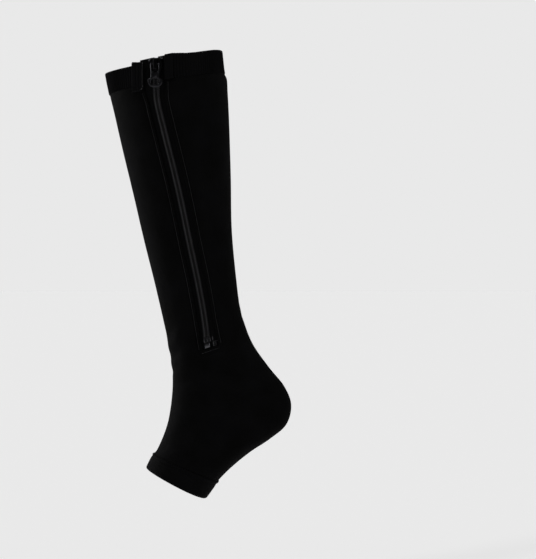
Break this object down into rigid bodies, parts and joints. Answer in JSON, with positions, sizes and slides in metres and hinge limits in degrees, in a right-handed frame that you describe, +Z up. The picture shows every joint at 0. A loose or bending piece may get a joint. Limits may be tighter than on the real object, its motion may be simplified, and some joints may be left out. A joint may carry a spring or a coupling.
{
  "type": "compression stocking",
  "caption": "Knee-high open-toe compression stocking in its hollow worn form, with a side zip, ribbed top band and plain toe band.",
  "frame": {"origin": "middle of the top opening, level with the middle of the top rim, where the calf holds the stocking up", "axes": "+Z up along the leg, -X towards the toes, +X towards the heel and calf, -Y towards the side with the zip"},
  "size_m": [0.1857, 0.1183, 0.4468],
  "materials": {
    "knit": "fine black nylon and elastane compression knit with a faint sheen at grazing angles",
    "welt": "doubled black ribbed knit, matt",
    "tape": "woven black polyester zip tape",
    "coil": "black nylon monofilament coil, satin",
    "zip_metal": "gunmetal plated zinc, polished on its edges"
  },
  "bodies": {
    "stocking": {"stocking_knit": "knit", "top_band": "welt", "toe_band": "welt", "welt_end_front": "welt", "welt_end_rear": "welt", "zip_tape_front": "tape", "zip_tape_rear": "tape", "zip_coil_front": "coil", "zip_coil_rear": "coil", "zip_top_stop_front": "zip_metal", "zip_top_stop_rear": "zip_metal", "zip_bottom_stop": "zip_metal", "zip_slider": "zip_metal"},
    "pull": {"zip_pull": "zip_metal"}
  },
  "joints": [
    {"name": "pull_swing", "type": "hinge", "parent": "stocking", "child": "pull", "pos_m": [-0.00551, -0.0593, -0.00664], "axis": [-0.996, 0.0896, 0.0031], "range_deg": [-3, 165]}
  ]
}
